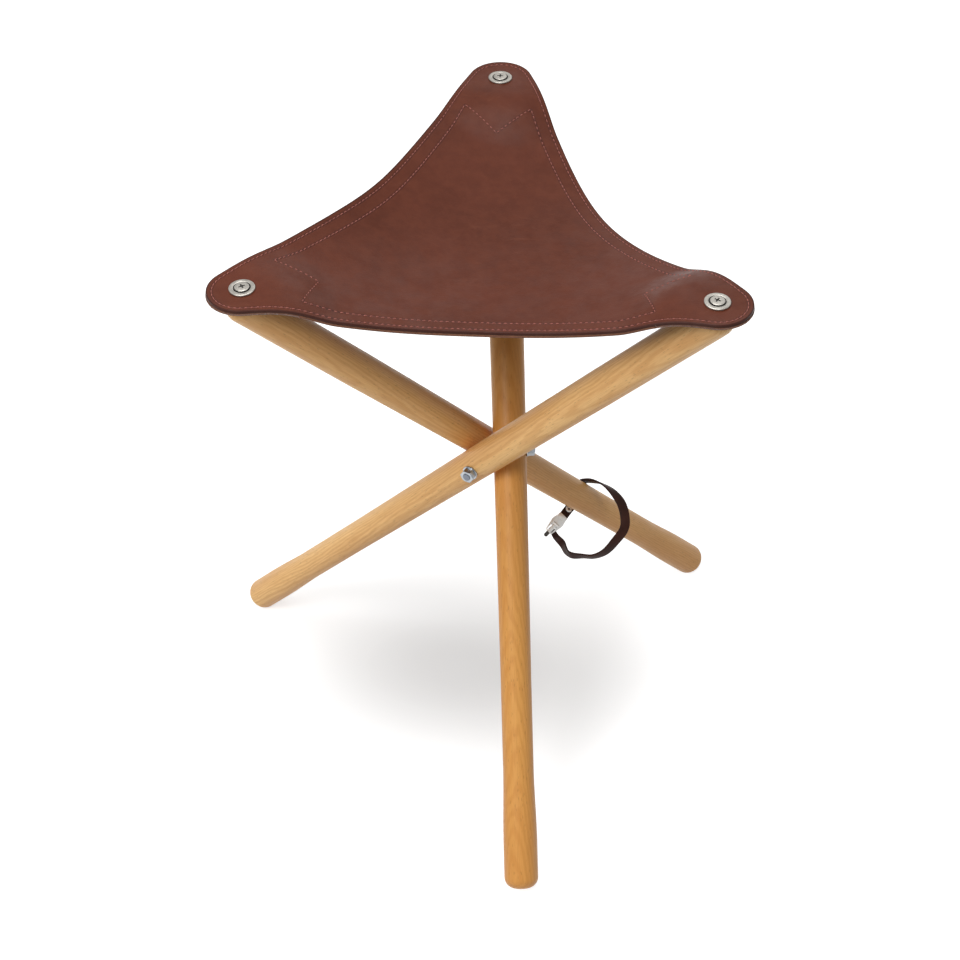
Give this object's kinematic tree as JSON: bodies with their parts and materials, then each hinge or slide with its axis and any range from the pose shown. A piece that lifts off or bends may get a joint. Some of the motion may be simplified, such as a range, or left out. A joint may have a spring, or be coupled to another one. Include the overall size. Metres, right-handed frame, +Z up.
{
  "type": "tripod folding stool",
  "caption": "Folding tripod stool: turned wooden legs crossing on a central bolt carry a sagging leather sling seat, screwed to the leg tops, with a buckled strap.",
  "frame": {"origin": "on the floor, straight under the middle of the three-armed bolt", "axes": "+Z up; +Y towards the rear corner of the seat; +X towards the right corner's side"},
  "size_m": [0.5368, 0.584, 0.6432],
  "materials": {
    "seat_leather": "satin",
    "lining_leather": "matte",
    "strap_leather": "satin",
    "beech": "oiled",
    "zinc_steel": "zinc plated",
    "satin_nickel": "satin nickel"
  },
  "bodies": {
    "hub": {"seat_leather": "seat_leather", "corner_patch_right": "lining_leather", "corner_patch_rear": "lining_leather", "corner_patch_left": "lining_leather", "edge_strip_front": "lining_leather", "edge_strip_back_right": "lining_leather", "edge_strip_back_left": "lining_leather", "tripod_bolt": "zinc_steel", "bolt_washer_right": "zinc_steel", "bolt_washer_rear": "zinc_steel", "bolt_washer_left": "zinc_steel", "bolt_nut_right": "zinc_steel", "bolt_nut_rear": "zinc_steel", "bolt_nut_left": "zinc_steel"},
    "leg_right": {"leg_right": "beech", "seat_screw_right": "satin_nickel", "cup_washer_right": "satin_nickel"},
    "leg_rear": {"leg_rear": "beech", "seat_screw_rear": "satin_nickel", "cup_washer_rear": "satin_nickel"},
    "leg_left": {"leg_left": "beech", "seat_screw_left": "satin_nickel", "cup_washer_left": "satin_nickel"},
    "strap_loop": {"strap": "strap_leather", "strap_eyelet": "satin_nickel", "clasp_body": "satin_nickel", "clasp_pin": "zinc_steel"},
    "clasp_lever": {"clasp_lever": "satin_nickel"}
  },
  "joints": [
    {"name": "fold_right", "type": "hinge", "parent": "hub", "child": "leg_right", "pos_m": [-0.00924, -0.01997, 0.34791], "axis": [-0.4199, -0.9076, 0], "range_deg": [0, 40], "deforming": ["seat_leather", "corner_patch_right", "corner_patch_rear", "corner_patch_left", "edge_strip_front", "edge_strip_back_right", "edge_strip_back_left"]},
    {"name": "fold_rear", "type": "hinge", "parent": "hub", "child": "leg_rear", "pos_m": [0.02191, 0.00198, 0.34791], "axis": [0.9959, 0.0901, 0], "range_deg": [0, 40]},
    {"name": "fold_left", "type": "hinge", "parent": "hub", "child": "leg_left", "pos_m": [-0.01267, 0.01798, 0.34791], "axis": [-0.576, 0.8175, 0], "range_deg": [0, 40]},
    {"name": "strap_swing", "type": "hinge", "parent": "leg_left", "child": "strap_loop", "pos_m": [0.09783, 0.09584, 0.19512], "axis": [-0.5417, -0.3817, 0.749], "range_deg": [-180, 0]},
    {"name": "clasp_lever_swing", "type": "hinge", "parent": "strap_loop", "child": "clasp_lever", "pos_m": [0.06967, 0.07626, 0.17169], "axis": [0.7346, -0.4258, -0.5283], "range_deg": [-70, 15]}
  ],
  "couplings": [
    {"joint": "fold_rear", "follows": "fold_right", "ratio": 1},
    {"joint": "fold_left", "follows": "fold_right", "ratio": 1},
    {"joint": "strap_swing", "follows": "fold_right", "ratio": -4.5}
  ]
}
